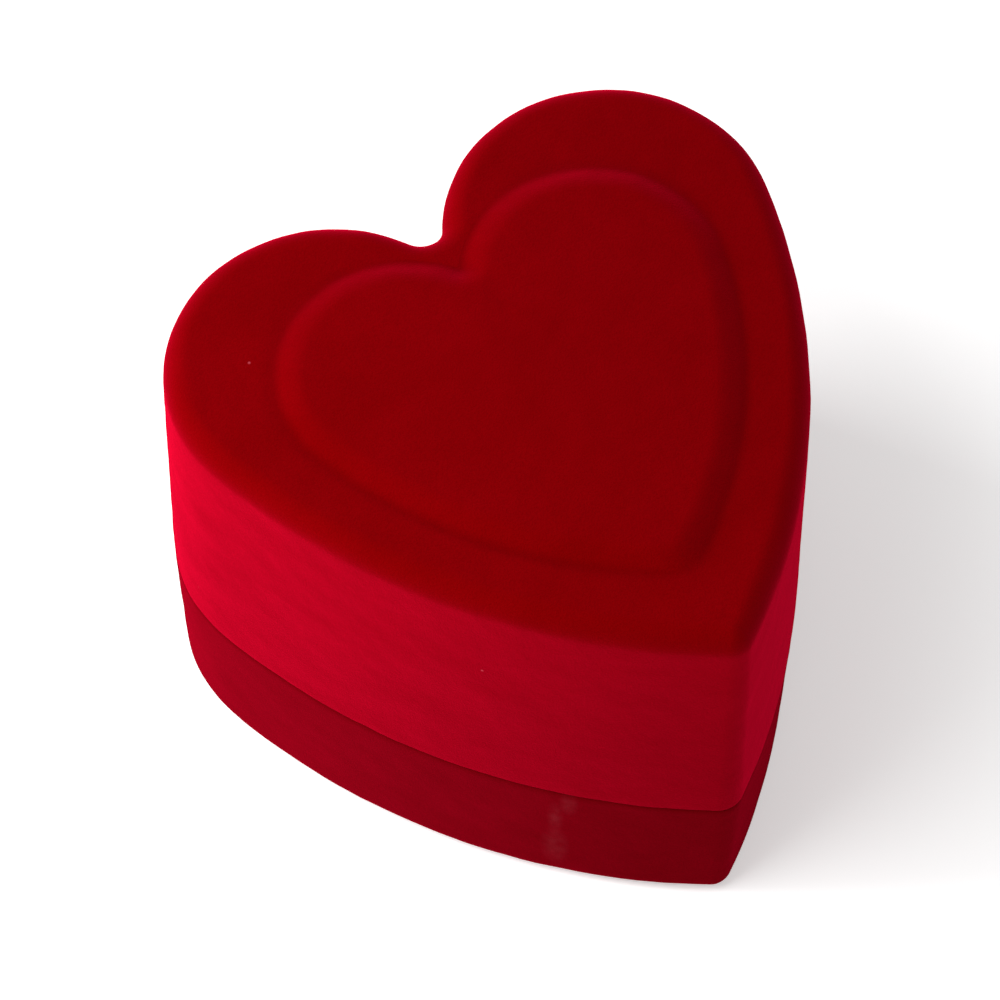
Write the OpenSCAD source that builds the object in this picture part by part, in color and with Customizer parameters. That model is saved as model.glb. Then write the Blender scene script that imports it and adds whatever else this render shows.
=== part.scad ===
// Heart-shaped trinket box: two flocked plastic shells joined by a steel butt hinge in the cleft
// of the heart, a card collar that lines the lid up with the base, ring cushions in the base and
// a puffed satin pad in the lid. The origin is on the underside, midway between the backs of the
// lobes and the tip. The tip points to -Y, +Z is up, and the lid is closed.

/* [Heart outline] */
// Radius of each lobe at the seam
lobe_r = 12.3; // [11.5:0.1:13]
// Distance of each lobe's centre from the middle
lobe_x = 11.7; // [11:0.1:12]
// Radius of the hollow curve in the cleft
cleft_r = 1.3; // [0.8:0.1:1.8]
// Radius of the long curve down each side
side_r = 54; // [50:0.5:70]
// Radius of the rounded tip
tip_r = 2; // [1:0.1:2.5]
// Distance from the lobes' centres forward to the tip circle's centre
tip_y = 33.1; // [32:0.1:35]

/* [Heights] */
// Height of the seam between base and lid
seam_z = 13.4; // [12.5:0.1:15]
// Height of the flat ledge on top of the lid
ledge_z = 36.6; // [34:0.1:38]
// Gap between the lid's rim and the base's rim
seam_gap = 0.1; // [0.05:0.05:0.3]

/* [Walls] */
// Thickness of the flocked velvet skin
velvet = 0.5; // [0.4:0.1:0.6]
// Wall of the moulded shells
wall = 1.5; // [1.2:0.1:1.6]
// Lean of the lid's side wall, in degrees
lid_draft = 0.7; // [0.5:0.1:1.5]
// Lean of the base's side wall, in degrees
base_draft = 2; // [1:0.1:2.5]
// Fillet round the lid's top edge
lid_fillet = 1.8; // [1.2:0.1:2]
// Fillet round the base's bottom edge
base_fillet = 1.4; // [1:0.1:2]
// Rounding where the velvet turns over each rim
rim_round = 0.45; // [0.3:0.05:0.5]

/* [Raised heart on the lid] */
// Height of the raised heart above the ledge
raise_h = 0.8; // [0.6:0.1:1.4]
// Width of the slope round the raised heart
raise_slope = 1.1; // [0.8:0.1:1.6]
// Radius of the raised heart's lobes
raise_lobe_r = 8.9; // [8.4:0.1:9.4]
// Distance of those lobes' centres from the middle
raise_lobe_x = 7.8; // [7.4:0.1:8.2]
// Radius in the raised heart's cleft
raise_cleft_r = 0.9; // [0.9:0.1:1.6]
// Radius of the curve down each side of the raised heart
raise_side_r = 37.5; // [36:0.5:44]
// Radius of the raised heart's tip
raise_tip_r = 2.3; // [2:0.1:2.6]
// Distance from the raised lobes' centres forward to their tip circle's centre
raise_tip_y = 20.9; // [20:0.1:21.5]
// How far the raised heart's lobes sit in front of the outline's lobes
raise_y = 4; // [3.5:0.1:4.2]

/* [Lining and cushions] */
// Thickness of the card in the collar and the boards
card = 0.8; // [0.6:0.1:1]
// Height of the collar above the seam
collar_rise = 2.5; // [2:0.1:3]
// Gap between the collar and the lid's wall
collar_gap = 0.45; // [0.4:0.05:0.6]
// Height of the ring cushions' crowns
cushion_top = 11.5; // [10.5:0.1:11.5]
// Thickness of the cushions' velvet cover
cover = 0.5; // [0.4:0.1:0.6]
// Width of the slit between the two ring cushions
slit = 0.6; // [0.4:0.1:1]
// Depth of the lid's satin pad, board to crown
pad_depth = 5; // [4:0.1:6]
// Thickness of the satin
satin = 0.35; // [0.3:0.05:0.5]

/* [Hinge] */
// Length of the hinge's barrel
hinge_w = 11; // [10:0.5:11.5]
// Length of the lid's middle knuckle
knuckle_w = 3.8; // [3:0.1:4.4]
// Outer radius of the knuckles
knuckle_r = 1.1; // [1:0.05:1.2]
// Radius of the hinge pin
pin_r = 0.5; // [0.4:0.05:0.6]
// Radial clearance round the pin
pin_clearance = 0.04; // [0.02:0.01:0.08]
// Thickness of the hinge leaves
leaf_t = 0.5; // [0.4:0.05:0.5]
// Height of each leaf above or below the axis
leaf_h = 6.3; // [6:0.1:6.5]

/* [Hidden] */

// A heart: lobe radius, lobe x, cleft radius, side radius, tip radius, tip distance, lobe y
lobe_y = (tip_y + tip_r - lobe_r) / 2;
BODY = [lobe_r, lobe_x, cleft_r, side_r, tip_r, tip_y, lobe_y];
RAISED = [raise_lobe_r, raise_lobe_x, raise_cleft_r, raise_side_r,
    raise_tip_r, raise_tip_y, lobe_y - raise_y];

// Sharpest tip that an inner outline keeps
min_tip_r = 0.2;
// Straight pieces in each arc of half an outline
CLEFT_STEPS = 3;
LOBE_STEPS = 18;
SIDE_STEPS = 8;
TIP_STEPS = 3;
ROUND = 32;
// How far a puffed pad's crown stands above its last level
CROWN = 0.8;

// Underside: the velvet turns under the edge and stops short of the foot card
foot_t = 0.7;
foot_inset = 4.5;
foot_gap = 0.1;
under_z = foot_t - velvet;

// Inside the base
floor_z = foot_t + wall;
collar_inset = velvet + wall + collar_gap;
collar_z = seam_z + collar_rise;
board_z = floor_z + card;
board_inset = collar_inset + card + 0.1;
slit_y = lobe_y - 4;

// Inside the lid
rim_z = seam_z + seam_gap;
ceiling_z = ledge_z - velvet - wall;
lining_gap = 0.05;
lining_inset = velvet + wall + lining_gap;
lining_t = 0.6;
lining_z = collar_z + 0.7;
pad_z = ceiling_z - card;

// Hinge: the axis lies just behind the lobes, at the height of the seam
axis_y = lobe_y + lobe_r + 0.1;
seat_y = axis_y - knuckle_r - 0.08;
seat_h = leaf_h - 0.7;
base_seat_z = seam_z - leaf_h - 0.1;
lid_seat_z = seam_z + 0.8;
knuckle_gap = 0.12;
leaf_relief = 0.2;
spring_t = 0.3;
spring_w = 3;
spring_foot = 2.6;
tack_x = 3.7;
tack_z = 4;
tack_r = 0.45;
tack_clearance = 0.03;
tack_depth = 2.2;
tack_head_r = 0.9;
tack_head_t = 0.35;

// Centre of the right side's long arc, which is tangent to the lobe and to the tip circle
function side_centre(h) =
    let (
        to_lobe = h[3] - h[0],
        to_tip = h[3] - h[4],
        run = [-h[1], -h[5]],
        dist = norm(run),
        along = (to_lobe * to_lobe - to_tip * to_tip + dist * dist) / (2 * dist),
        across = sqrt(to_lobe * to_lobe - along * along),
        unit = run / dist
    )
    [h[1], 0] + along * unit + across * [unit.y, -unit.x];

function heading(v) = atan2(v.y, v.x);

function arc(centre, r, from, to, steps, first) =
    [for (i = [first:steps])
        let (a = from + (to - from) * i / steps)
        centre + r * [cos(a), sin(a)]];

// Right half of a heart moved out by d: cleft, lobe, side and tip
function half_heart(h, d) =
    let (
        lobe = [h[1], 0],
        cleft = [0, sqrt(pow(h[0] + h[2], 2) - h[1] * h[1])],
        side = side_centre(h),
        tip_now = max(h[4] + d, min_tip_r),
        tip = [0, side.y - sqrt(pow(h[3] + d - tip_now, 2) - side.x * side.x)],
        into_cleft = heading(lobe - cleft),
        out_of_cleft = heading(cleft - lobe),
        onto_side = heading(lobe - side),
        off_side = heading(tip - side)
    )
    concat(
        arc(cleft, h[2] - d, -90, into_cleft, CLEFT_STEPS, 0),
        arc(lobe, h[0] + d, out_of_cleft, onto_side, LOBE_STEPS, 1),
        arc(side, h[3] + d, onto_side, off_side, SIDE_STEPS, 1),
        arc(tip, tip_now, off_side, -90, TIP_STEPS, 1)
    );

// Whole outline, clockwise from the cleft
function heart(h, d) =
    let (
        right = half_heart(h, d),
        last = len(right) - 1,
        left = [for (i = [last - 1:-1:1]) [-right[i].x, right[i].y]]
    )
    [for (p = concat(right, left)) p + [0, h[6]]];

// One level of a loft: a heart moved out by d, at height z
function level(h, d, z) = [for (p = heart(h, d)) [p.x, p.y, z]];

// Levels of a quarter circle from a side wall at (d, z) to a flat face above it or, with up -1, below it
function fillet(d, z, r, up, steps) =
    [for (i = [1:steps])
        let (a = 90 * i / steps)
        level(BODY, d - r * (1 - cos(a)), z + up * r * sin(a))];

function reversed(list) = [for (i = [len(list) - 1:-1:0]) list[i]];

// Lean of the side walls: how far they stand in from the seam at height z
function lid_lean(z) = -tan(lid_draft) * (z - rim_z);
function base_lean(z) = -tan(base_draft) * (seam_z - z);

// Outside of the lid from its wall to the raised heart, moved in by inset
function lid_outside(inset) =
    let (
        z = ledge_z - lid_fillet,
        d = lid_lean(z) - inset,
        in = inset / 2
    )
    concat(
        [level(BODY, d, z)],
        fillet(d, z, lid_fillet - inset, 1, 4),
        [for (step = [[1 / 2, 0], [1 / 4, 0.15], [-1 / 4, 0.85], [-1 / 2, 1]])
            level(RAISED, raise_slope * step[0] - in, ledge_z - inset + raise_h * step[1])]
    );

// Outside of the base from its wall down and under, moved in by inset
function base_outside(inset) =
    let (
        z = under_z + base_fillet,
        d = base_lean(z) - inset
    )
    concat(
        [level(BODY, d, z)],
        fillet(d, z, base_fillet - inset, -1, 3),
        [level(BODY, -foot_inset, under_z + inset)]
    );

// Levels of a puffed pad whose crown is at height z, swelling up or, with up -1, down
function puff(inset, z, up) =
    [for (step = [[0, 2.6], [0.5, 1.5], [1.6, 0.8]])
        level(BODY, -inset - step[0], z - up * step[1])];

// Closed solid through levels whose walls run down outside and up inside. Each end is closed by a
// fan about a hub that sees the whole outline, the ends' own height plus top or bottom. With ring
// true, the last level joins the first instead.
module heart_loft(levels, ring = false, top = 0, bottom = 0) {
    n = len(levels[0]);
    m = len(levels);
    hub_y = lobe_y - 9;
    rows = ring ? m : m - 1;
    sides = [for (j = [0:rows - 1], i = [0:n - 1])
        let (
            k = (i + 1) % n,
            a = j * n,
            b = (j + 1) % m * n
        )
        each [[a + i, b + k, a + k], [a + i, b + i, b + k]]];
    first_cap = [for (i = [0:n - 1]) [i, (i + 1) % n, m * n]];
    last_cap = [for (i = [0:n - 1]) [(m - 1) * n + (i + 1) % n, (m - 1) * n + i, m * n + 1]];
    rims = [for (l = levels) each l];
    hubs = [[0, hub_y, levels[0][0].z + top], [0, hub_y, levels[m - 1][0].z + bottom]];
    if (ring)
        polyhedron(rims, sides);
    else
        polyhedron(concat(rims, hubs), concat(sides, first_cap, last_cap));
}

module heart_plate(inset, z, t) {
    translate([0, 0, z])
        linear_extrude(t)
            polygon(heart(BODY, -inset));
}

// Block in the cleft, between the lobes, that carries one hinge leaf on its back face
module hinge_seat(z) {
    translate([0, lobe_y, z])
        linear_extrude(seat_h)
            polygon([
                [-2, 4.8], [2, 4.8], [4.8, 8.4], [8.1, seat_y - lobe_y],
                [-8.1, seat_y - lobe_y], [-4.8, 8.4]
            ]);
}

// Runs a cylinder in from the seat's face at each tack, starting behind it by out
module at_tacks(z, out) {
    for (side = [-1, 1])
        translate([side * tack_x, seat_y + out, z])
            rotate([90, 0, 0])
                children();
}

module tack_holes(z) {
    at_tacks(z, 2)
        cylinder(h = 2 + tack_depth, r = tack_r + tack_clearance, $fn = ROUND);
}

module tacks(z, under_head) {
    at_tacks(z, under_head)
        union() {
            cylinder(h = under_head + tack_depth - 0.1, r = tack_r, $fn = ROUND);
            translate([0, 0, -tack_head_t])
                cylinder(h = tack_head_t, r = tack_head_r, $fn = ROUND);
        }
}

// Bar along X from one place to another, centred on the hinge axis
module on_axis(from, to, r) {
    translate([from, axis_y, seam_z])
        rotate([0, 90, 0])
            cylinder(h = to - from, r = r, $fn = ROUND);
}

// Part of a leaf's sheet between two places along X and two heights
module leaf_sheet(from, to, low, high) {
    translate([from, seat_y, low])
        cube([to - from, leaf_t, high - low]);
}

// ---- Base ----

module base_shell() {
    color("firebrick")
        difference() {
            union() {
                heart_loft(concat(
                    [
                        level(BODY, -velvet - wall + base_lean(floor_z), floor_z),
                        level(BODY, -velvet - wall, seam_z),
                        level(BODY, -velvet, seam_z)
                    ],
                    base_outside(velvet)
                ));
                hinge_seat(base_seat_z);
            }
            tack_holes(seam_z - tack_z);
        }
}

module base_velvet() {
    color("crimson")
        difference() {
            heart_loft(concat(
                [
                    level(BODY, -velvet, seam_z),
                    level(BODY, -rim_round * 0.3, seam_z - rim_round * 0.3),
                    level(BODY, base_lean(seam_z - rim_round), seam_z - rim_round)
                ],
                base_outside(0),
                reversed(base_outside(velvet))
            ), ring = true);
            hinge_seat(base_seat_z);
        }
}

module foot_card() {
    color("darkred")
        heart_plate(foot_inset + foot_gap, 0, foot_t);
}

module rim_collar() {
    color("maroon")
        difference() {
            heart_plate(collar_inset, floor_z, collar_z - floor_z);
            heart_plate(collar_inset + card, floor_z - 1, collar_z - floor_z + 2);
        }
}

module cushion_board() {
    color("burlywood")
        heart_plate(board_inset, floor_z, card);
}

// Padded block on the cushion board, puffed at the top and moved in all round by inset; low is
// the height of its underside
module padded_block(inset, low) {
    heart_loft(concat(
        reversed(puff(board_inset + inset, cushion_top - inset, 1)),
        [level(BODY, -board_inset - inset, low)]
    ), top = CROWN);
}

// One of the two cushions' shares of a padded block: in front of the slit, or behind it
module front_share(inset, low) {
    intersection() {
        padded_block(inset, low);
        translate([-lobe_r * 3, slit_y - slit / 2 - inset - tip_y * 2, 0])
            cube([lobe_r * 6, tip_y * 2, seam_z]);
    }
}

module rear_share(inset, low) {
    intersection() {
        padded_block(inset, low);
        translate([-lobe_r * 3, slit_y + slit / 2 + inset, 0])
            cube([lobe_r * 6, tip_y * 2, seam_z]);
    }
}

module front_foam() {
    color("gainsboro")
        front_share(cover, board_z);
}

module rear_foam() {
    color("gainsboro")
        rear_share(cover, board_z);
}

module front_cushion() {
    color("brown")
        difference() {
            front_share(0, board_z);
            front_share(cover, board_z - 1);
        }
}

module rear_cushion() {
    color("brown")
        difference() {
            rear_share(0, board_z);
            rear_share(cover, board_z - 1);
        }
}

// ---- Lid ----

module lid_shell() {
    color("firebrick")
        difference() {
            union() {
                heart_loft(concat(
                    reversed(lid_outside(velvet)),
                    [
                        level(BODY, -velvet, rim_z),
                        level(BODY, -velvet - wall, rim_z),
                        level(BODY, -velvet - wall + lid_lean(ceiling_z), ceiling_z)
                    ]
                ));
                hinge_seat(lid_seat_z);
            }
            tack_holes(seam_z + tack_z);
        }
}

module lid_velvet() {
    color("crimson")
        difference() {
            heart_loft(concat(
                reversed(lid_outside(0)),
                [
                    level(BODY, lid_lean(rim_z + rim_round), rim_z + rim_round),
                    level(BODY, -rim_round * 0.3, rim_z + rim_round * 0.3),
                    level(BODY, -velvet, rim_z)
                ],
                lid_outside(velvet)
            ));
            hinge_seat(lid_seat_z);
        }
}

module lid_lining() {
    top = -lining_inset + lid_lean(pad_z);
    bottom = -lining_inset + lid_lean(lining_z);
    color("ivory")
        heart_loft([
            level(BODY, top, pad_z),
            level(BODY, bottom, lining_z),
            level(BODY, bottom - lining_t, lining_z),
            level(BODY, top - lining_t, pad_z)
        ], ring = true);
}

module lid_board() {
    color("burlywood")
        heart_plate(lining_inset - lid_lean(ceiling_z), pad_z, card);
}

// Edge of the satin pad, just clear of the lining
function pad_inset() = lining_inset - lid_lean(pad_z) + lining_t + 0.1;

module lid_wadding() {
    color("whitesmoke")
        heart_loft(concat(
            [level(BODY, -pad_inset() - satin, pad_z)],
            puff(pad_inset() + satin, pad_z - pad_depth + satin, -1)
        ), bottom = -CROWN);
}

module lid_satin_pad() {
    color("ivory")
        heart_loft(concat(
            reversed(puff(pad_inset() + satin, pad_z - pad_depth + satin, -1)),
            [
                level(BODY, -pad_inset() - satin, pad_z),
                level(BODY, -pad_inset(), pad_z)
            ],
            puff(pad_inset(), pad_z - pad_depth, -1)
        ), top = -CROWN, bottom = -CROWN);
}

// ---- Hinge ----

module base_hinge_leaf() {
    gap_x = knuckle_w / 2 + knuckle_gap;
    color("goldenrod")
        difference() {
            union() {
                leaf_sheet(-hinge_w / 2, hinge_w / 2, seam_z - leaf_h, seam_z - knuckle_r - leaf_relief);
                for (side = [0, 1])
                    mirror([side, 0, 0]) {
                        leaf_sheet(gap_x, hinge_w / 2, seam_z - leaf_h, seam_z);
                        on_axis(gap_x, hinge_w / 2, knuckle_r);
                    }
            }
            on_axis(-hinge_w, hinge_w, pin_r + pin_clearance);
            tack_holes(seam_z - tack_z);
        }
}

module lid_hinge_leaf() {
    color("goldenrod")
        difference() {
            union() {
                leaf_sheet(-hinge_w / 2, hinge_w / 2, seam_z + knuckle_r + leaf_relief, seam_z + leaf_h);
                leaf_sheet(-knuckle_w / 2, knuckle_w / 2, seam_z, seam_z + leaf_h);
                on_axis(-knuckle_w / 2, knuckle_w / 2, knuckle_r);
            }
            on_axis(-hinge_w, hinge_w, pin_r + pin_clearance);
            tack_holes(seam_z + tack_z);
        }
}

module hinge_pin() {
    color("silver")
        on_axis(-hinge_w / 2 - 0.2, hinge_w / 2 + 0.2, pin_r);
}

// Sprung plate under the base leaf's tacks, with a tongue that presses under the middle knuckle
module hinge_spring() {
    tongue_top = seam_z - knuckle_r - 0.06;
    foot_top = seam_z - tack_z + spring_foot / 2;
    color("silver")
        difference() {
            translate([0, seat_y + leaf_t, 0])
                union() {
                    translate([-hinge_w / 2 + 0.5, 0, foot_top - spring_foot])
                        cube([hinge_w - 1, spring_t, spring_foot]);
                    translate([-spring_w / 2, 0, foot_top - 0.1])
                        cube([spring_w, spring_t, tongue_top - foot_top + 0.1]);
                    translate([-spring_w / 2, 0, tongue_top - spring_t])
                        cube([spring_w, knuckle_r, spring_t]);
                }
            tack_holes(seam_z - tack_z);
        }
}

module base_hinge_tacks() {
    color("goldenrod")
        tacks(seam_z - tack_z, leaf_t + spring_t);
}

module lid_hinge_tacks() {
    color("goldenrod")
        tacks(seam_z + tack_z, leaf_t);
}

base_shell();
base_velvet();
foot_card();
rim_collar();
cushion_board();
front_foam();
rear_foam();
front_cushion();
rear_cushion();
lid_shell();
lid_velvet();
lid_lining();
lid_board();
lid_wadding();
lid_satin_pad();
base_hinge_leaf();
lid_hinge_leaf();
hinge_pin();
hinge_spring();
base_hinge_tacks();
lid_hinge_tacks();
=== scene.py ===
"""Looks of a heart-shaped trinket box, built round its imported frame.

Lengths are in millimetres until a mesh is made, and MM turns them into metres. The heart points to
-Y, +Z is up, and the lid is closed.
"""
import math
from bisect import bisect
from collections import namedtuple

import bmesh
import bpy
from mathutils import Matrix, Vector, noise


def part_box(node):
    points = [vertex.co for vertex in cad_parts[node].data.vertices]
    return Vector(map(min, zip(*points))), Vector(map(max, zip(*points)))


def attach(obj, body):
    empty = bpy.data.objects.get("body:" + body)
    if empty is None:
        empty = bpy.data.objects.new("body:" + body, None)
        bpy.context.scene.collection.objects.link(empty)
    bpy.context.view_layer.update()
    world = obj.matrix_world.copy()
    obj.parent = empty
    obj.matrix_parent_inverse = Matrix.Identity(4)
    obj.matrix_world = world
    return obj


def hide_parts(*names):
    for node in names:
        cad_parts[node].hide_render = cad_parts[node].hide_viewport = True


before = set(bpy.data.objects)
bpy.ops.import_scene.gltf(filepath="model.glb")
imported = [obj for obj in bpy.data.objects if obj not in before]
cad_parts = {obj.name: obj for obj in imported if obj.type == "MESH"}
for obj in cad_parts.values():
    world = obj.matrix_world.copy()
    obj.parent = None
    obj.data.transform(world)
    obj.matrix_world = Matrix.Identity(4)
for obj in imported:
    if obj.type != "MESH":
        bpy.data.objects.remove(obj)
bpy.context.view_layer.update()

MM = 0.001


def low_mm(node):
    """Lowest corner of a CAD node's box, in millimetres."""
    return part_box(node)[0] / MM


def high_mm(node):
    """Highest corner of a CAD node's box, in millimetres."""
    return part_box(node)[1] / MM


# ---- Sizes ----

# A heart's outline: the radii of its arcs, the x and y of the lobes' centres, and tip_y, how far in
# front of them the tip's arc has its centre
Heart = namedtuple("Heart", "lobe_r lobe_x cleft_r side_r tip_r tip_y lobe_y")

LOBE_R = 12.3
LOBE_Y = high_mm("base_velvet").y - LOBE_R
# The raised heart's lobes have their centres this far in front of the body's
RAISED_FORWARD = 4
RAISED_Y = LOBE_Y - RAISED_FORWARD
BODY = Heart(lobe_r=LOBE_R, lobe_x=11.7, cleft_r=1.3, side_r=54, tip_r=2, tip_y=33.1, lobe_y=LOBE_Y)
RAISED = Heart(lobe_r=8.9, lobe_x=7.8, cleft_r=0.9, side_r=37.5, tip_r=2.3, tip_y=20.9, lobe_y=RAISED_Y)
MIN_TIP_R = 0.2

UNDER_Z = low_mm("base_velvet").z
SEAM_Z = high_mm("base_velvet").z
RIM_Z = low_mm("lid_velvet").z
CROWN_Z = high_mm("lid_velvet").z
RAISE_H = 0.8
# Height of the raised heart at its edge; the rest is a slight crown
EDGE_H = 0.68
LEDGE_Z = CROWN_Z - RAISE_H
FLOOR_Z = low_mm("rim_collar").z
COLLAR_Z = high_mm("rim_collar").z
BOARD_Z = high_mm("cushion_board").z
CUSHION_Z = high_mm("front_cushion").z
LINING_Z = low_mm("lid_lining").z
PAD_Z = high_mm("lid_lining").z
PAD_CROWN_Z = low_mm("lid_satin_pad").z

LID_DRAFT = math.tan(math.radians(0.7))
BASE_DRAFT = math.tan(math.radians(2))
LID_FILLET = 1.8
BASE_FILLET = 1.4
RIM_ROUND = 0.12
# The base turns in more softly under the lid: how far in, and over what height
SHOULDER_IN, SHOULDER_H = 0.16, 0.8
# How far the pile on each rim reaches towards the other
RIM_PILE = 0.03
SKIN = 0.5
WALL = 1.5
# The raised heart's slope: how far out of its outline it starts, and its width
RAISE_OUT, RAISE_SLOPE = 0.8, 2.4
# Below 1, the slope rises early: its foot is short and its crest long
RAISE_SKEW = 0.75
UNDER_INSET = 4.5
CARD = 0.8
COLLAR_GAP = 0.45
COLLAR_INSET = SKIN + WALL + COLLAR_GAP
COLLAR_ROUND = 0.34
BOARD_GAP = 0.1
BOARD_INSET = COLLAR_INSET + CARD + BOARD_GAP
# The slit between the two ring cushions: its width, and how far in front of the lobes' centres it is
SLIT, SLIT_FORWARD = 0.6, 4
SLIT_Y = LOBE_Y - SLIT_FORWARD
LINING_GAP = 0.05
LINING_INSET = SKIN + WALL + LINING_GAP
# How far the lining stands in from the lid's wall: at most, and where the pad's border meets it
LINING_ROOM, LINING_TUCK = 0.95, 0.5


def lid_lean(z):
    return -LID_DRAFT * (z - RIM_Z)


def base_lean(z):
    return -BASE_DRAFT * (SEAM_Z - z)


# ---- Heart outlines and lofts ----

# Straight pieces in each arc of half an outline
CLEFT_STEPS, LOBE_STEPS, SIDE_STEPS, TIP_STEPS = 14, 50, 36, 6


def heading(v):
    return math.atan2(v.y, v.x)


def arc(centre, r, start, end, count, first=1):
    """Points of an arc about centre, from one angle to another, in count straight pieces."""
    angles = [start + (end - start) * i / count for i in range(first, count + 1)]
    return [centre + r * Vector((math.cos(a), math.sin(a))) for a in angles]


def half_heart(h, d, fine):
    """Right half of a heart moved out by d: cleft, lobe, side and tip."""
    lobe = Vector((h.lobe_x, 0))
    cleft = Vector((0, math.sqrt((h.lobe_r + h.cleft_r) ** 2 - h.lobe_x ** 2)))
    to_lobe, to_tip = h.side_r - h.lobe_r, h.side_r - h.tip_r
    run = Vector((-h.lobe_x, -h.tip_y))
    along = (to_lobe ** 2 - to_tip ** 2 + run.length_squared) / (2 * run.length)
    across = math.sqrt(to_lobe ** 2 - along ** 2)
    unit = run.normalized()
    side = lobe + along * unit + across * Vector((unit.y, -unit.x))
    tip_r = max(h.tip_r + d, MIN_TIP_R)
    tip = Vector((0, side.y - math.sqrt((h.side_r + d - tip_r) ** 2 - side.x ** 2)))
    onto_side, off_side = heading(lobe - side), heading(tip - side)
    down = -math.pi / 2
    return (
        arc(cleft, h.cleft_r - d, down, heading(lobe - cleft), CLEFT_STEPS * fine, 0)
        + arc(lobe, h.lobe_r + d, heading(cleft - lobe), onto_side, LOBE_STEPS * fine)
        + arc(side, h.side_r + d, onto_side, off_side, SIDE_STEPS * fine)
        + arc(tip, tip_r, off_side, down, TIP_STEPS * fine)
    )


def ring(h, d, z, fine=1):
    """Outline of a heart moved out by d, at height z, clockwise from the cleft."""
    right = half_heart(h, d, fine)
    left = [Vector((-p.x, p.y)) for p in right[-2:0:-1]]
    return [Vector((p.x, p.y + h.lobe_y, z)) for p in right + left]


def facing(points, outline, hub):
    """Points of an outline at the same bearings from the hub as the given points."""
    def bearing(p):
        return math.atan2(p.x - hub.x, p.y - hub.y) % math.tau
    corners = outline + outline[:1]
    turns = [bearing(p) for p in outline] + [math.tau]
    found = []
    for p in points:
        k = min(max(bisect(turns, bearing(p)), 1), len(outline))
        a, b = corners[k - 1], corners[k]
        ray = (p - hub).xy
        before, after = (ray.cross((q - hub).xy) for q in (a, b))
        found.append(a.lerp(b, before / (before - after)))
    return found


def between(a, b, share):
    """A ring part of the way from ring a to ring b."""
    return [p.lerp(q, share) for p, q in zip(a, b)]


def shrinking(outer, hub, shares):
    """Rings that close in on a hub, each the share of the outer ring's size."""
    return [[hub.lerp(p, s) for p in outer] for s in shares]


def steps(count, first=1):
    """Evenly spaced shares up to 1."""
    return [i / count for i in range(first, count + 1)]


def quarter(d, z, r, up, count):
    """Offsets and heights along a quarter circle from a wall at (d, z) to the flat face past it."""
    turns = [math.pi / 2 * s for s in steps(count)]
    return [(d - r * (1 - math.cos(a)), z + up * r * math.sin(a)) for a in turns]


def loft(name, rings, loop=False, hubs=()):
    """A closed mesh through rings. The last joins the first in a loop; hubs close the two ends."""
    bm = bmesh.new()
    rows = [[bm.verts.new(p * MM) for p in points] for points in rings]
    following = rows[1:] + rows[:1] if loop else rows[1:]
    for a, b in zip(rows, following):
        for i in range(len(a)):
            k = (i + 1) % len(a)
            bm.faces.new((a[i], b[i], b[k], a[k]))
    for row, hub in zip((rows[0], rows[-1]), hubs):
        centre = bm.verts.new(hub * MM)
        for i in range(len(row)):
            bm.faces.new((row[i], row[(i + 1) % len(row)], centre))
    bmesh.ops.recalc_face_normals(bm, faces=bm.faces)
    return piece_of(name, bm)


def piece_of(name, bm):
    """A smooth-shaded object that holds a bmesh, which is then freed."""
    mesh = bpy.data.meshes.new(name)
    bm.to_mesh(mesh)
    bm.free()
    mesh.shade_smooth()
    piece = bpy.data.objects.new(name, mesh)
    bpy.context.scene.collection.objects.link(piece)
    return piece


# How quickly finer lumps lose height, how many times finer each layer is, and how many layers
LUMP_FALL, LUMP_FINER, LUMP_LAYERS = 0.8, 2.0, 3


def uneven(piece, height, size, low=-math.inf, high=math.inf):
    """Moves a surface in and out along its normals, in soft lumps, and keeps it from low to high.

    The lumps stand up to about height, and are about size apart.
    """
    mesh = piece.data
    normals = [v.normal.copy() for v in mesh.vertices]
    for vertex, normal in zip(mesh.vertices, normals):
        place = vertex.co / (size * MM)
        lump = noise.fractal(place, LUMP_FALL, LUMP_FINER, LUMP_LAYERS)
        vertex.co += normal * lump * height * MM
        vertex.co.z = min(max(vertex.co.z, low * MM), high * MM)
    mesh.update()


# Radius of a mean bend that counts as a full crease, and how often the marks are smoothed
CREASE_R, CREASE_ROUNDS = 1.8, 3


def mark_creases(piece):
    """Stores how hollow the surface is round each point, from -1 on a crest to 1 in a crease."""
    bm = bmesh.new()
    bm.from_mesh(piece.data)
    hollows = []
    for vertex in bm.verts:
        spans = [e.other_vert(vertex).co - vertex.co for e in vertex.link_edges]
        bends = [2 * span.dot(vertex.normal) / span.length_squared for span in spans]
        hollows.append(min(max(CREASE_R * MM * sum(bends) / len(bends), -1), 1))
    around = [[e.other_vert(v).index for e in v.link_edges] for v in bm.verts]
    for _ in range(CREASE_ROUNDS):
        hollows = [
            (hollow + sum(hollows[k] for k in near)) / (1 + len(near))
            for hollow, near in zip(hollows, around)
        ]
    bm.free()
    piece.data.attributes.new("crease", "FLOAT", "POINT").data.foreach_set("value", hollows)


# ---- Materials ----


def shaded(colour, share):
    """A colour made darker, to that share of its brightness."""
    return tuple(channel * share for channel in colour)


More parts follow.
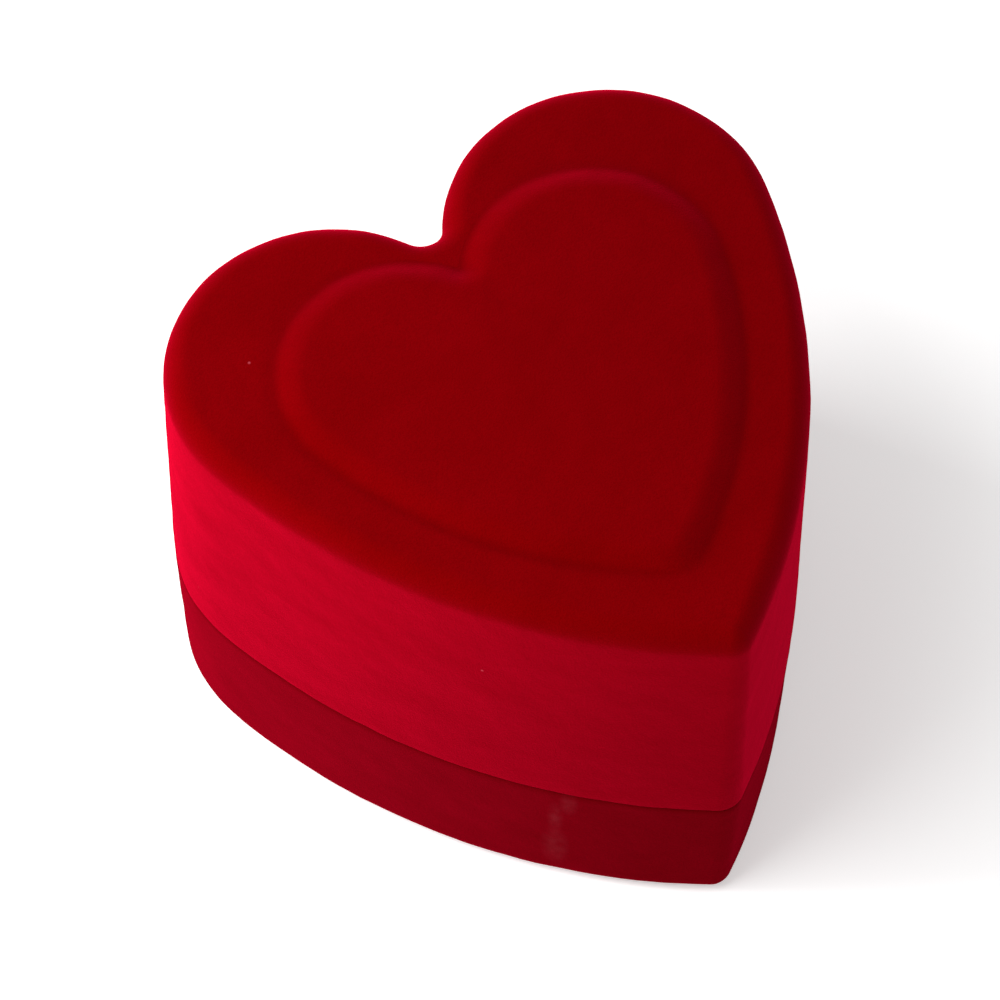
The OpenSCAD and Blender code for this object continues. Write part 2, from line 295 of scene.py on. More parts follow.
class Look:
    """A material with one Principled shader, and short calls that add nodes in front of it."""

    def __init__(self, name, **sockets):
        self.material = bpy.data.materials.new(name)
        self.material.use_nodes = True
        self.tree = self.material.node_tree
        self.shader = self.tree.nodes["Principled BSDF"]
        for socket, value in sockets.items():
            self.shader.inputs[socket.replace("_", " ")].default_value = value
        where = self.add("ShaderNodeTexCoord").outputs["Object"]
        scale = self.add("ShaderNodeVectorMath", operation="SCALE")
        scale.inputs["Scale"].default_value = 1 / MM
        self.link(where, scale.inputs[0])
        self.place = scale.outputs[0]

    def add(self, kind, **settings):
        node = self.tree.nodes.new(kind)
        for key, value in settings.items():
            setattr(node, key, value)
        return node

    def link(self, output, socket):
        self.tree.links.new(output, socket)

    def noise(self, size, detail=2.0, stretch=(1, 1, 1), distortion=0.0):
        """Noise whose lumps are about size millimetres apart."""
        node = self.add("ShaderNodeTexNoise")
        node.inputs["Scale"].default_value = 1 / size
        node.inputs["Detail"].default_value = detail
        node.inputs["Distortion"].default_value = distortion
        self.link(self.stretched(stretch), node.inputs["Vector"])
        return node.outputs["Fac"]

    def cells(self, size):
        """Distance to the nearest of points that lie about size millimetres apart."""
        node = self.add("ShaderNodeTexVoronoi")
        node.inputs["Scale"].default_value = 1 / size
        self.link(self.place, node.inputs["Vector"])
        return node.outputs["Distance"]

    def spot(self, place, size):
        """1 at a place in millimetres, fading to 0 at the edge of an ellipsoid of that size round it."""
        away = self.place
        for operation, value in (("SUBTRACT", place), ("DIVIDE", size)):
            node = self.add("ShaderNodeVectorMath", operation=operation)
            node.inputs[1].default_value = value
            self.link(away, node.inputs[0])
            away = node.outputs[0]
        length = self.add("ShaderNodeVectorMath", operation="LENGTH")
        self.link(away, length.inputs[0])
        return self.ramp(length.outputs["Value"], (0.15, 1.0), (1.0, 0.0))

    def falling(self, low, high):
        """1 at a height of low millimetres, fading to 0 at high."""
        split = self.add("ShaderNodeSeparateXYZ")
        self.link(self.place, split.inputs[0])
        node = self.add("ShaderNodeMapRange", interpolation_type="SMOOTHSTEP")
        for socket, value in zip(("From Min", "From Max", "To Min", "To Max"), (low, high, 1, 0)):
            node.inputs[socket].default_value = value
        self.link(split.outputs["Z"], node.inputs["Value"])
        return node.outputs["Result"]

    def stretched(self, stretch):
        if tuple(stretch) == (1, 1, 1):
            return self.place
        node = self.add("ShaderNodeVectorMath", operation="MULTIPLY")
        node.inputs[1].default_value = stretch
        self.link(self.place, node.inputs[0])
        return node.outputs[0]

    def ramp(self, value, *stops):
        """Colours or greys at places from 0 to 1."""
        node = self.add("ShaderNodeValToRGB")
        ramp = node.color_ramp
        while len(ramp.elements) < len(stops):
            ramp.elements.new(0.5)
        for element, (place, colour) in zip(ramp.elements, stops):
            element.position = place
            grey = isinstance(colour, (int, float))
            element.color = (colour, colour, colour, 1) if grey else (*colour, 1)
        self.link(value, node.inputs["Fac"])
        return node.outputs["Color"]

    def mix(self, share, a, b, blend="MIX"):
        """Colour b over colour a. The share is a number or an output, and so is each colour."""
        node = self.add("ShaderNodeMix", data_type="RGBA", blend_type=blend)
        for socket, value in ((node.inputs[0], share), (node.inputs[6], a), (node.inputs[7], b)):
            if isinstance(value, (int, float)):
                socket.default_value = value
            elif isinstance(value, tuple):
                socket.default_value = (*value, 1)
            else:
                self.link(value, socket)
        return node.outputs[2]

    def math(self, operation, a, b):
        node = self.add("ShaderNodeMath", operation=operation)
        for socket, value in zip(node.inputs, (a, b)):
            if isinstance(value, (int, float)):
                socket.default_value = value
            else:
                self.link(value, socket)
        return node.outputs[0]

    def attribute(self, name):
        return self.add("ShaderNodeAttribute", attribute_name=name).outputs["Fac"]

    def colour(self, output):
        self.link(output, self.shader.inputs["Base Color"])

    def roughness(self, output):
        self.link(output, self.shader.inputs["Roughness"])

    def bump(self, height, depth, strength=1.0):
        """Adds a bump whose full height is depth millimetres, on top of any bump already there."""
        node = self.add("ShaderNodeBump")
        node.inputs["Strength"].default_value = strength
        node.inputs["Distance"].default_value = depth * MM
        self.link(height, node.inputs["Height"])
        socket = self.shader.inputs["Normal"]
        if socket.is_linked:
            self.link(socket.links[0].from_socket, node.inputs["Normal"])
        self.link(node.outputs["Normal"], socket)


def flock_look(name, deep, bright, sheen, tint, mark=0.25, rubs=(), rim_shade_span=None):
    """Short-pile flock: a deep colour between the fibres, pile marks, grain, painted shade and highlight,
    rubbed spots and lint.

    mark is how strong the pile marks are, rubs are places and sizes of rubbed spots, and rim_shade_span
    is the height below which painted shade fully darkens the pile and the height where that ends.
    """
    look = Look(
        name, Roughness=0.95, Specular_IOR_Level=0.0, Sheen_Weight=sheen, Sheen_Roughness=0.47,
        Sheen_Tint=(*tint, 1),
    )
    # Pile marks, mottle and grain
    marks = look.ramp(look.noise(9, 3, distortion=0.6), (0.35, 0.0), (0.68, 1.0))
    mottle = look.ramp(look.noise(1.6, 4), (0.3, 0.0), (0.7, 1.0))
    grain = look.noise(0.14, 2)
    colour = look.mix(look.math("MULTIPLY", marks, mark), deep, bright)
    colour = look.mix(look.math("MULTIPLY", mottle, 0.14), colour, bright)
    dark = shaded(deep, 0.72)
    colour = look.mix(look.ramp(grain, (0.35, 0.35), (0.6, 0.0)), colour, dark)
    # Painted shade darkens the hollows, and a painted highlight lightens the crests
    crease = look.attribute("crease")
    hollow = look.math("MULTIPLY", look.math("MAXIMUM", crease, 0), 0.7)
    crest = look.math("MULTIPLY", look.math("MAXIMUM", look.math("MULTIPLY", crease, -1), 0), 0.12)
    colour = look.mix(hollow, colour, shaded(deep, 0.45))
    colour = look.mix(crest, colour, bright)
    # Painted shade that darkens the pile towards the rim, then rubbed spots and lint
    if rim_shade_span:
        colour = look.mix(look.math("MULTIPLY", look.falling(*rim_shade_span), RIM_SHADE), colour, dark)
    for place, size in rubs:
        worn = look.ramp(look.noise(0.7, 3), (0.3, 0.03), (0.65, 0.1))
        colour = look.mix(look.math("MULTIPLY", look.spot(place, size), worn), colour, RUBBED)
    lint = look.ramp(look.cells(6.5), (0.008, 0.4), (0.02, 0.0))
    colour = look.mix(lint, colour, LINT)
    look.colour(colour)
    look.bump(look.noise(2.2, 3), 0.10, 0.6)
    look.bump(grain, 0.05, 0.5)
    return look.material


def satin_look(name):
    """Ivory satin: smooth floats that catch the light, fine slubs and a faint grain of threads."""
    look = Look(
        name, Roughness=0.3, Specular_IOR_Level=0.6, Anisotropic=0.6, Sheen_Weight=0.35,
        Sheen_Roughness=0.3, Sheen_Tint=(1.0, 0.97, 0.92, 1),
    )
    slubs = look.noise(0.5, 3, stretch=(0.25, 0.25, 3))
    threads = look.noise(0.07, 1, stretch=(1, 1, 0.12))
    shade = look.ramp(slubs, (0.3, (0.9, 0.84, 0.72)), (0.7, (0.94, 0.885, 0.77)))
    look.colour(look.mix(look.ramp(threads, (0.35, 0.12), (0.6, 0.0)), shade, (0.76, 0.68, 0.54)))
    look.roughness(look.ramp(slubs, (0.3, 0.33), (0.7, 0.27)))
    look.bump(threads, 0.012, 0.4)
    return look.material


def plastic_look(name, colour, rub):
    """Moulded plastic with a thin dusting of flock, rubbed bare in patches and in fine specks."""
    look = Look(
        name, Specular_IOR_Level=0.06, Sheen_Weight=0.4, Sheen_Roughness=0.45,
        Sheen_Tint=(1.0, 0.02, 0.05, 1),
    )
    flow = look.noise(5, 4, stretch=(1, 1, 0.4), distortion=0.5)
    dust = look.noise(0.16, 2)
    body = look.mix(look.ramp(flow, (0.35, 0.0), (0.7, 0.6)), colour, rub)
    look.colour(look.mix(look.ramp(dust, (0.35, 0.4), (0.6, 0.0)), body, shaded(colour, 0.6)))
    look.roughness(look.ramp(look.noise(1.2, 4), (0.35, 0.6), (0.65, 0.8)))
    look.bump(dust, 0.04, 0.5)
    return look.material


def metal_look(name, clean, dull, gloss):
    """Plated sheet metal: drawn grain, fine scratches and duller patches."""
    look = Look(name, Metallic=1.0, Anisotropic=0.35)
    patches = look.ramp(look.noise(1.4, 4, distortion=0.4), (0.42, 0.0), (0.72, 1.0))
    grain = look.noise(0.08, 2, stretch=(0.06, 1, 1))
    streaks = look.noise(0.35, 4, stretch=(0.15, 1, 2.5))
    scratches = look.ramp(streaks, (0.47, 0.0), (0.5, 1.0), (0.53, 0.0))
    look.colour(look.mix(look.math("MULTIPLY", patches, 0.45), clean, dull))
    worn = look.mix(patches, (gloss,) * 3, (gloss + 0.2,) * 3)
    look.roughness(look.mix(look.math("MULTIPLY", scratches, 0.5), worn, (gloss + 0.3,) * 3))
    look.bump(grain, 0.006, 0.6)
    look.bump(scratches, 0.004, 0.5)
    return look.material


def board_look(name, pale, dark):
    """Grey board: pressed fibres and flecks."""
    look = Look(name, Roughness=0.9, Specular_IOR_Level=0.2)
    fibres = look.noise(0.6, 5, stretch=(0.3, 1, 1))
    flecks = look.ramp(look.cells(0.9), (0.1, 1.0), (0.2, 0.0))
    body = look.ramp(fibres, (0.3, dark), (0.7, pale))
    look.colour(look.mix(look.math("MULTIPLY", flecks, 0.5), body, shaded(dark, 0.5)))
    look.bump(fibres, 0.05, 0.6)
    return look.material


def foam_look(name, pale, cell):
    """Soft open cells, as in foam and, with a longer cell, in wadding."""
    look = Look(name, Roughness=1.0, Specular_IOR_Level=0.1, Sheen_Weight=0.2)
    cells = look.cells(cell)
    look.colour(look.ramp(cells, (0.1, shaded(pale, 0.6)), (0.6, pale)))
    look.bump(cells, 0.12, 0.8)
    return look.material


# Linear colours
LID_DEEP, LID_BRIGHT = (0.153, 0.0001, 0.0001), (0.22, 0.0003, 0.0015)
BASE_DEEP, BASE_BRIGHT = (0.092, 0.0003, 0.0006), (0.138, 0.0006, 0.0028)
INNER_DEEP = (0.16, 0.001, 0.003)
CUSHION_BRIGHT, CUSHION_TINT = (0.27, 0.003, 0.008), (1.0, 0.03, 0.07)
FLOCK_TINT = (1.0, 0.004, 0.048)
RUBBED = (0.34, 0.07, 0.09)
LINT = (0.6, 0.1, 0.14)
# How strongly painted shade darkens the lid's pile towards its rim
RIM_SHADE = 0.7
# A faint rub mark that runs down the base's left wall near the tip: places and sizes
RUB_MARK = (
    ((-9.4, -16.6, 12.0), (0.8, 0.8, 1.9)),
    ((-10.0, -15.8, 9.4), (0.7, 0.7, 2.8)),
    ((-10.0, -15.8, 4.8), (1.2, 1.2, 3.4)),
)

LOOKS = {
    # The lid's flock gets painted shade that darkens it towards its rim
    "lid_flock": flock_look(
        "lid_flock_look", LID_DEEP, LID_BRIGHT, 0.78, FLOCK_TINT, rim_shade_span=(RIM_Z, LEDGE_Z - LID_FILLET)
    ),
    "base_flock": flock_look("base_flock_look", BASE_DEEP, BASE_BRIGHT, 0.31, FLOCK_TINT, 0.35, RUB_MARK),
    "inner_flock": flock_look("inner_flock_look", INNER_DEEP, LID_BRIGHT, 0.35, FLOCK_TINT),
    "cushion": flock_look("cushion_look", INNER_DEEP, CUSHION_BRIGHT, 0.5, CUSHION_TINT),
    "satin": satin_look("satin_look"),
    "plastic": plastic_look("plastic_look", (0.15, 0.002, 0.005), (0.2, 0.006, 0.01)),
    "brass": metal_look("brass_look", (0.68, 0.44, 0.14), (0.36, 0.21, 0.07), 0.3),
    "steel": metal_look("steel_look", (0.46, 0.45, 0.44), (0.27, 0.25, 0.23), 0.34),
    "board": board_look("board_look", (0.5, 0.45, 0.37), (0.34, 0.3, 0.24)),
    "foam": foam_look("foam_look", (0.75, 0.74, 0.68), 0.45),
    "wadding": foam_look("wadding_look", (0.86, 0.86, 0.84), 0.9),
}


def dress(piece, look, body=None, stands_for=()):
    """Gives a piece its look, and says what it rides on and which CAD nodes it replaces."""
    piece.data.materials.clear()
    piece.data.materials.append(LOOKS[look])
    if body:
        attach(piece, body)
    if stands_for:
        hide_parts(*stands_for)


# ---- Flocked outsides ----

# Middle of the lid's top, which the bearings of its outlines are taken from
HUB_FORWARD = 9
TOP_HUB = Vector((0, LOBE_Y - HUB_FORWARD, CROWN_Z))
# The raised heart's rings within its edge, as shares of the edge's size
PLATEAU = (0.94, 0.86, 0.76, 0.64, 0.5, 0.36, 0.22, 0.1)
# The flock's soft lumps: their height, and how far apart they are
LUMP_H, LUMP_SIZE = 0.05, 4.5
RIM_STEPS = 6


def rim_rounding(z, up, deep, tall):
    """Offsets and heights where the skin turns over a rim at height z, from its wall inward."""
    turns = [math.pi / 2 * s for s in steps(RIM_STEPS)]
    return [(-deep * (1 - math.cos(a)), z + up * tall * (1 - math.sin(a))) for a in turns]


def lid_profile(inset, wall_rows, fillet_rows, ledge_rows, slope_rows):
    """Rings of the lid's outside from above its rim to the raised heart's edge, moved in by inset."""
    foot, shoulder = RIM_Z + RIM_ROUND, LEDGE_Z - LID_FILLET
    heights = [foot + (shoulder - foot) * s for s in steps(wall_rows, 0)]
    rings = [ring(BODY, lid_lean(z) - inset, z) for z in heights]
    turned = quarter(lid_lean(shoulder) - inset, shoulder, LID_FILLET - inset, 1, fillet_rows)
    rings += [ring(BODY, d, z) for d, z in turned]
    edge = rings[-1]
    slope = []
    for s in steps(slope_rows, 0):
        rise = (1 - math.cos(math.pi * s ** RAISE_SKEW)) / 2
        d, z = RAISE_OUT - RAISE_SLOPE * s - inset / 2, LEDGE_Z - inset + EDGE_H * rise
        slope.append(facing(edge, ring(RAISED, d, z, 2), TOP_HUB))
    return rings + [between(edge, slope[0], s) for s in steps(ledge_rows)[:-1]] + slope


def lid_flock():
    outside = lid_profile(0, wall_rows=40, fillet_rows=12, ledge_rows=12, slope_rows=12)
    plateau = shrinking(outside[-1], TOP_HUB, PLATEAU)
    under = TOP_HUB - Vector((0, 0, SKIN))
    inside = lid_profile(SKIN, wall_rows=3, fillet_rows=4, ledge_rows=2, slope_rows=4)
    low = RIM_Z - RIM_PILE
    rim = [ring(BODY, d, z) for d, z in rim_rounding(low, 1, RIM_ROUND, RIM_ROUND)]
    rim.append(ring(BODY, -SKIN, low))
    rings = plateau[::-1] + outside[::-1] + rim + inside
    rings += shrinking(inside[-1], under, (0.7, 0.35))
    skin = loft("lid_flock", rings, hubs=(TOP_HUB, under))
    mark_creases(skin)
    uneven(skin, LUMP_H, LUMP_SIZE, low=low)
    dress(skin, "lid_flock", "lid", ("lid_velvet",))


def base_profile(inset, wall_rows, fillet_rows):
    """Rings of the base's outside from below its rim to the edge of its underside, moved in by inset."""
    top, shoulder = SEAM_Z - SHOULDER_H, UNDER_Z + BASE_FILLET
    heights = [top + (shoulder - top) * s for s in steps(wall_rows, 0)]
    rings = [ring(BODY, base_lean(z) - inset, z) for z in heights]
    turned = quarter(base_lean(shoulder) - inset, shoulder, BASE_FILLET - inset, -1, fillet_rows)
    rings += [ring(BODY, d, z) for d, z in turned]
    edge = ring(BODY, -UNDER_INSET, UNDER_Z + inset)
    return rings + [between(rings[-1], edge, s) for s in steps(3)]


def base_flock():
    outside = base_profile(0, wall_rows=24, fillet_rows=10)
    inside = base_profile(SKIN, wall_rows=3, fillet_rows=4)
    high = SEAM_Z + RIM_PILE
    turned = rim_rounding(high, -1, SHOULDER_IN, SHOULDER_H)
    rim = [ring(BODY, base_lean(z) + d, z) for d, z in turned] + [ring(BODY, -SKIN, high)]
    skin = loft("base_flock", rim[::-1] + outside + inside[::-1], loop=True)
    mark_creases(skin)
    uneven(skin, LUMP_H, LUMP_SIZE, high=high)
    dress(skin, "base_flock", "base", ("base_velvet",))


lid_flock()
base_flock()

# ---- Padded and gathered cloth ----

# The cloth is simulated this many times as large, because its settings suit furniture
ENLARGED = 20
FRAMES = 20
# Shortest move that is divided by
NEGLIGIBLE = 1e-9


def add_modifier(piece, kind, **settings):
    modifier = piece.modifiers.new(kind.lower(), kind)
    for key, value in settings.items():
        setattr(modifier, key, value)
    return modifier


def apply_modifiers(piece):
    """Turns what the modifiers show into the piece's own mesh."""
    shown = piece.evaluated_get(bpy.context.evaluated_depsgraph_get())
    mesh = bpy.data.meshes.new_from_object(shown)
    piece.modifiers.clear()
    piece.data = mesh
    mesh.shade_smooth()


def weigh(piece, name, weight):
    """A vertex group whose weights come from each point's place in millimetres."""
    group = piece.vertex_groups.new(name=name)
    for vertex in piece.data.vertices:
        group.add([vertex.index], weight(vertex.co / MM), "REPLACE")
    return name


def rounded(rough, cell, rounds, loose):
    """Rebuilds a rough closed form from even cells, and smooths it over where it is loose."""
    add_modifier(rough, "REMESH", mode="VOXEL", voxel_size=cell * MM)
    apply_modifiers(rough)
    group = weigh(rough, "loose", loose)
    add_modifier(rough, "SMOOTH", factor=0.5, iterations=rounds, vertex_group=group)
    apply_modifiers(rough)
    return rough


def swell(piece, pressure, spare, held, cap):
    """Swells a closed form by cloth simulation, enlarged for it and then shrunk back.

    spare is the share by which the cover is cut too large, held says how firmly a place is held, and
    cap is the furthest that a point moves.
    """
    start = [v.co.copy() for v in piece.data.vertices]
    group = weigh(piece, "held", held)
    piece.data.transform(Matrix.Scale(ENLARGED, 4))
    cloth = add_modifier(piece, "CLOTH")
    cloth.point_cache.frame_end = FRAMES
    settings = cloth.settings
    settings.quality = 6
    settings.use_pressure = True
    settings.uniform_pressure_force = pressure
    settings.vertex_group_mass = group
    settings.shrink_min = -spare
    settings.effector_weights.gravity = 0
    for frame_now in range(1, FRAMES + 1):
        bpy.context.scene.frame_set(frame_now)
    apply_modifiers(piece)
    piece.data.transform(Matrix.Scale(1 / ENLARGED, 4))
    moves = [v.co - co for v, co in zip(piece.data.vertices, start)]
    for vertex, co, move in zip(piece.data.vertices, start, moves):
        vertex.co = co + move * min(1, cap * MM / max(move.length, NEGLIGIBLE))


def subdivide(piece):
    add_modifier(piece, "SUBSURF", levels=1, render_levels=1)


# ---- Ring cushions ----

# Room for the covers to swell, and how far in the foam is
CUSHION_ROOM, FOAM_INSET = 0.3, 1.3
# Rings up to each cushion's crown: how far in from the side, and how far below the top
CUSHION_CROWN = ((0, 2.4), (0.5, 1.4), (1.4, 0.8), (3.2, 0.4))
# Each cover is glued up to a height above the board, and comes free over the next stretch
GLUED_H, FREEING_H = 2.5, 2


def cushion_form(name, side, inset):
    """Rough block on one side of the slit, -1 in front and 1 behind, moved in by inset."""
    top = CUSHION_Z - inset
    rows = [(0, BOARD_Z)] + [(d, top - below) for d, below in CUSHION_CROWN]
    rings = [ring(BODY, -BOARD_INSET - inset - d, z) for d, z in rows]
    hub = Vector((0, TOP_HUB.y, top))
    rings += shrinking(rings[-1], hub, (0.5,))
    block = loft(name, rings, hubs=(Vector((0, TOP_HUB.y, BOARD_Z)), hub))
    bm = bmesh.new()
    bm.from_mesh(block.data)
    face = Vector((0, SLIT_Y + side * (SLIT / 2 + inset), 0)) * MM
    everything = bm.verts[:] + bm.edges[:] + bm.faces[:]
    bmesh.ops.bisect_plane(bm, geom=everything, plane_co=face, plane_no=(0, -side, 0), clear_outer=True)
    bmesh.ops.holes_fill(bm, edges=[e for e in bm.edges if e.is_boundary])
    bmesh.ops.recalc_face_normals(bm, faces=bm.faces)
    bm.to_mesh(block.data)
    bm.free()
    return block


def ring_cushion(name, side):
    """Velvet cover, swollen over its foam and glued down round its foot."""
    def loose(p):
        return min(max((p.z - BOARD_Z - GLUED_H) / FREEING_H, 0), 1)

    rough = cushion_form(name + "_cover", side, CUSHION_ROOM)
    cover = rounded(rough, cell=0.6, rounds=14, loose=loose)
    swell(cover, pressure=1.0, spare=0.04, held=lambda p: 1 - loose(p), cap=0.28)
    subdivide(cover)
    dress(cover, "cushion", "base", (name,))
    rough = cushion_form(name.replace("cushion", "foam_block"), side, FOAM_INSET)
    foam = rounded(rough, cell=0.7, rounds=8, loose=loose)
    dress(foam, "foam", "base", (name.replace("cushion", "foam"),))


ring_cushion("front_cushion", -1)
ring_cushion("rear_cushion", 1)

# ---- Satin pad and lining in the lid ----

PAD_GAP = 0.2
PAD_INSET = LINING_INSET - lid_lean(PAD_Z) + LINING_TUCK + PAD_GAP
PAD_HUB = Vector((0, TOP_HUB.y, PAD_Z))
# Room for the pillow to swell, how far in the wadding is, and the share of that at the flat back
PAD_ROOM, WADDING_INSET, BACK_SHARE = 0.3, 1.3, 0.3
# Rings from the back to the pillow's crown: how far in from the side, and the share of the depth
PAD_CROWN = ((0, 0), (0, 0.26), (0.5, 0.5), (1.5, 0.7), (3.2, 0.84), (5.2, 0.92))
# The pillow is held down to a depth below its back, and comes free over the next stretch
HELD_DEPTH, FREEING_DEPTH = 0.8, 1.5
# Two series of gathers along the border: how many in a turn, how far drift shifts them, their share
GATHERS = ((62, 9, 1), (101, 14, 0.5))
GATHER_H = 0.3
# How far in the gathers reach: on average, how much drift changes it, and at least
GATHER_REACH, REACH_DRIFT, MIN_REACH = 6.0, 4.5, 1.5
# How quickly the gathers fade on their way in, and the radius of the circle of noise behind drift
GATHER_FADE, DRIFT_CIRCLE = 1.2, 3.5


def pad_form(name, inset):
    """Rough heart-shaped pillow that hangs crown down from the lid's board, moved in by inset."""
    back, low = PAD_Z - inset * BACK_SHARE, PAD_CROWN_Z + inset
    deep = back - low
    rings = [ring(BODY, -PAD_INSET - inset - d, back - share * deep) for d, share in PAD_CROWN]
    crown = Vector((0, TOP_HUB.y, low))
    rings += shrinking(rings[-1], crown, (0.5,))
    return loft(name, rings, hubs=(Vector((0, TOP_HUB.y, back)), crown))


def border_distance(points, hub):
    """How far each point is in from the pad's border, measured towards the hub in plan."""
    border = facing(points, ring(BODY, -PAD_INSET, PAD_Z, 2), hub)
    return [(b - p).xy.length for b, p in zip(border, points)]


def satin_pad():
    def loose(p):
        return min(max((PAD_Z - HELD_DEPTH - p.z) / FREEING_DEPTH, 0), 1)

    pad = rounded(pad_form("lid_satin_pillow", PAD_ROOM), cell=0.6, rounds=10, loose=loose)
    swell(pad, pressure=1.0, spare=0.1, held=lambda p: 1 - loose(p), cap=0.5)
    mesh = pad.data
    places = [v.co / MM for v in mesh.vertices]
    normals = [v.normal.copy() for v in mesh.vertices]
    depths = border_distance(places, PAD_HUB)
    for vertex, p, normal, inward in zip(mesh.vertices, places, normals, depths):
        bearing = math.atan2(p.x, p.y - PAD_HUB.y)
        drift = noise.noise(Vector((math.cos(bearing), math.sin(bearing), 0)) * DRIFT_CIRCLE)
        fold = sum(share * math.sin(bearing * count + drift * shift) for count, shift, share in GATHERS)
        reach = max(GATHER_REACH + REACH_DRIFT * drift, MIN_REACH)
        fade = max(0, 1 - inward / reach) ** GATHER_FADE * loose(p)
        vertex.co += normal * fold * fade * GATHER_H * MM
        vertex.co.z = max(vertex.co.z, PAD_CROWN_Z * MM)
    subdivide(pad)
    dress(pad, "satin", "lid", ("lid_satin_pad",))
    wadding = rounded(pad_form("lid_wadding_fill", WADDING_INSET), cell=0.8, rounds=8, loose=loose)
    dress(wadding, "wadding", "lid", ("lid_wadding",))


# Width of a pleat, the cloth's thickness, and how much longer than the wall the strip is cut
PLEAT, CLOTH, GATHERED = 2.2, 0.12, 1.15
# How far off the wall the lining is, and the height of its first row above its lower edge
GLUE, HEM_EDGE = 0.02, 0.5
# Height over which the lining comes out from the pad's border to its full room, and the hem's height
COMING_OUT, HEM = 5, 1.6
# Pleats: their share of the room on each side of its middle, and how much of that the hem keeps
PLEAT_SHARE, HEM_SHARE = 0.42, 0.15
# Two series of pleats: how many to one of the first, how far they wander, and their share
PLEATS = ((1, 2.2, 1), (1.7, 5, 0.35))
# Their wander is noise too: the radius of its circle, and how far up it goes in each millimetre
WANDER_CIRCLE, WANDER_UP = 4, 0.09


def lining():
    """A satin strip gathered round the lid's inside wall, hemmed flat along its lower edge."""
    around = ring(BODY, -LINING_INSET, 0, 3)
    walked, lengths = 0.0, []
    for p, q in zip(around, around[1:] + around[:1]):
        lengths.append(walked)
        walked += (q - p).length
    count = round(walked / PLEAT)

    def folded(z, layer):
        d = lid_lean(z) - LINING_INSET
        deep = LINING_TUCK + (LINING_ROOM - LINING_TUCK) * min((PAD_Z - z) / COMING_OUT, 1)
        wall, room = ring(BODY, d - GLUE, z, 3), ring(BODY, d - deep + CLOTH, z, 3)
        inner = ring(BODY, d - deep, z, 3)
        hem = min((z - LINING_Z) / HEM, 1)
        points = []
        for p, q, r, length in zip(wall, room, inner, lengths):
            turn = math.tau * length / walked
            x, y = math.cos(turn) * WANDER_CIRCLE, math.sin(turn) * WANDER_CIRCLE
            wander = noise.noise(Vector((x, y, z * WANDER_UP)))
            wave = sum(
                size * math.sin(count * rate * turn + shift * wander) for rate, shift, size in PLEATS
            )
            share = 0.5 + PLEAT_SHARE * wave * (HEM_SHARE + (1 - HEM_SHARE) * hem)
            point = p.lerp(q, min(max(share, 0), 1))
            points.append(point + (r - q) * layer)
        return points

    heights = [LINING_Z + (PAD_Z - LINING_Z) * s for s in steps(12, 0)]
    heights.insert(1, LINING_Z + HEM_EDGE)
    outer = [folded(z, 0) for z in heights]
    inner = [folded(z, 1) for z in heights]
    band = loft("lid_lining_satin", outer + inner[::-1], loop=True)
    dress(band, "satin", "lid", ("lid_lining",))


satin_pad()
lining()

# ---- Collar ----


def collar():
    """Flocked card strip that stands inside the base, with its top edge rounded."""
    r = COLLAR_ROUND
    turns = [math.pi / 2 * s for s in steps(5)]
    heights = [FLOOR_Z + (COLLAR_Z - r - FLOOR_Z) * s for s in steps(14, 0)]

    def face(d, over):
        """Rings up one face of the card and round its top edge, which turns in (-1) or out (1)."""
        rings = [ring(BODY, d, z) for z in heights]
        for a in turns:
            rings.append(ring(BODY, d + over * r * (1 - math.cos(a)), COLLAR_Z - r + r * math.sin(a)))
        return rings

    outer, inner = face(-COLLAR_INSET, -1), face(-COLLAR_INSET - CARD, 1)
    strip = loft("collar_strip", outer + inner[::-1], loop=True)
    dress(strip, "inner_flock", "base", ("rim_collar",))


collar()

# ---- CAD nodes that keep their shape ----

CAD_LOOKS = {
    "lid_shell": "plastic",
    "base_shell": "plastic",
    "foot_card": "inner_flock",
    "cushion_board": "board",
    "lid_board": "board",
    "base_hinge_leaf": "brass",
    "lid_hinge_leaf": "brass",
    "hinge_pin": "steel",
    "hinge_spring": "steel",
    "base_hinge_tacks": "brass",
    "lid_hinge_tacks": "brass",
}
# Width of the bevel along each edge of the stamped and cut pieces
BEVELS = {
    "foot_card": 0.12,
    "base_hinge_leaf": 0.06,
    "lid_hinge_leaf": 0.06,
    "hinge_pin": 0.06,
    "hinge_spring": 0.05,
    "base_hinge_tacks": 0.08,
    "lid_hinge_tacks": 0.08,
}
for node, look in CAD_LOOKS.items():
    dress(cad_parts[node], look)
# Corners closer than SAME_PLACE are joined, and so are faces that turn less than FLAT_TURN. An edge
# that turns more than SHARP_TURN gets a bevel.
SAME_PLACE, FLAT_TURN, SHARP_TURN = 0.001, math.radians(0.5), math.radians(35)
for node, width in BEVELS.items():
    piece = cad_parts[node]
    add_modifier(piece, "WELD", merge_threshold=SAME_PLACE * MM)
    add_modifier(piece, "DECIMATE", decimate_type="DISSOLVE", angle_limit=FLAT_TURN)
    add_modifier(
        piece, "BEVEL", width=width * MM, segments=2, limit_method="ANGLE", angle_limit=SHARP_TURN,
        harden_normals=True,
    )

# ---- Floor, lights and camera ----

# The floor's side in metres, and how strongly it glows, which keeps it white
FLOOR_SIDE, FLOOR_GLOW = 6.0, 0.4
FLOOR_GAP = 0.05
# Where the camera stands, seen from LOOK_AT: angles in degrees, and a distance
LOOK_FROM = dict(azimuth=-34.14, elevation=58.37, roll=1.56, distance=380.4)
LOOK_AT = Vector((0, 0, 19))
# How far to the right of LOOK_AT and above it the camera aims, to place the box in its frame
FRAMING = Vector((-4.01, 2.19))
LENS, SENSOR = 187.0, 36.0


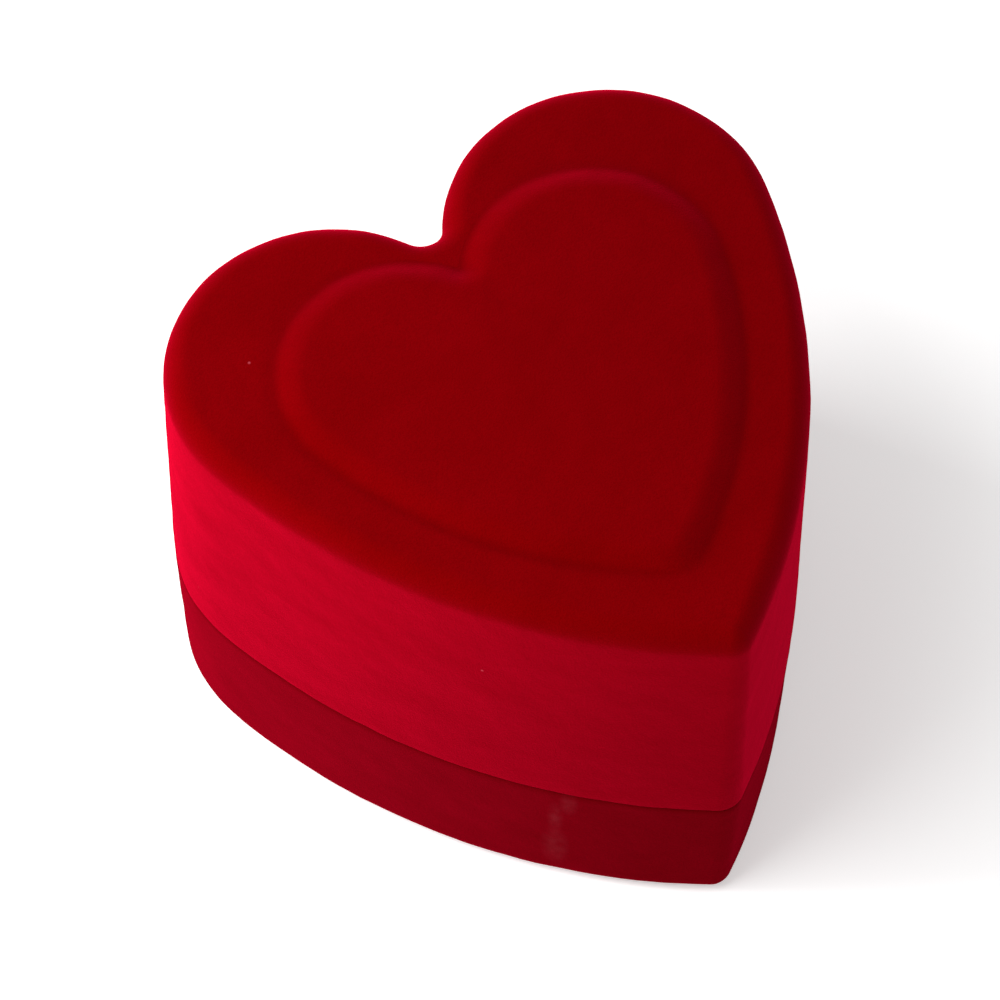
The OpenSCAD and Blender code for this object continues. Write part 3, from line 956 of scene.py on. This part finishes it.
def plain_floor():
    bm = bmesh.new()
    bmesh.ops.create_grid(bm, x_segments=8, y_segments=8, size=FLOOR_SIDE / 2)
    floor = piece_of("floor", bm)
    floor.location.z = -FLOOR_GAP * MM
    look = Look(
        "floor_look", Roughness=0.9, Specular_IOR_Level=0.1, Emission_Color=(1, 1, 1, 1),
        Emission_Strength=FLOOR_GLOW,
    )
    look.colour(look.ramp(look.noise(60, 2), (0.4, (0.93, 0.93, 0.93)), (0.6, (0.95, 0.95, 0.95))))
    floor.data.materials.append(look.material)


def direction(azimuth, elevation):
    """Unit vector from the object towards a viewer. Azimuth 0 is in front, and -90 to the left."""
    a, e = math.radians(azimuth), math.radians(elevation)
    return Vector((math.sin(a) * math.cos(e), -math.cos(a) * math.cos(e), math.sin(e)))


def soft_light(name, azimuth, elevation, distance, size, power):
    """A square soft light that faces the object. Its distance and size are in metres."""
    data = bpy.data.lights.new(name, "AREA")
    data.shape = "SQUARE"
    data.size = size
    data.energy = power
    light = bpy.data.objects.new(name, data)
    toward = direction(azimuth, elevation)
    light.location = toward * distance + LOOK_AT * MM
    light.rotation_euler = toward.to_track_quat("Z", "Y").to_euler()
    bpy.context.scene.collection.objects.link(light)


def white_surround(strength):
    world = bpy.data.worlds.new("surround")
    world.use_nodes = True
    world.node_tree.nodes["Background"].inputs["Color"].default_value = (1, 1, 1, 1)
    world.node_tree.nodes["Background"].inputs["Strength"].default_value = strength
    bpy.context.scene.world = world


def camera():
    back = direction(LOOK_FROM["azimuth"], LOOK_FROM["elevation"])
    a, roll = math.radians(LOOK_FROM["azimuth"]), math.radians(LOOK_FROM["roll"])
    level = Vector((math.cos(a), math.sin(a), 0))
    up = back.cross(level)
    right = math.cos(roll) * level + math.sin(roll) * up
    place = (LOOK_AT + back * LOOK_FROM["distance"]) * MM
    aim = (LOOK_AT + right * FRAMING.x + back.cross(right) * FRAMING.y) * MM
    z = (place - aim).normalized()
    x = (right - z * right.dot(z)).normalized()
    y = z.cross(x)
    data = bpy.data.cameras.new("camera")
    data.lens = LENS
    data.sensor_width = SENSOR
    data.clip_start, data.clip_end = 0.01, 10
    view = bpy.data.objects.new("camera", data)
    view.matrix_world = Matrix.Translation(place) @ Matrix((x, y, z)).transposed().to_4x4()
    bpy.context.scene.collection.objects.link(view)
    bpy.context.scene.camera = view


plain_floor()
white_surround(strength=0.38)
soft_light("key", azimuth=-132, elevation=18, distance=0.4, size=0.25, power=1.72)
soft_light("top", azimuth=-92, elevation=58, distance=0.16, size=0.1, power=0.178)
camera()
bpy.context.scene.view_settings.view_transform = "Standard"
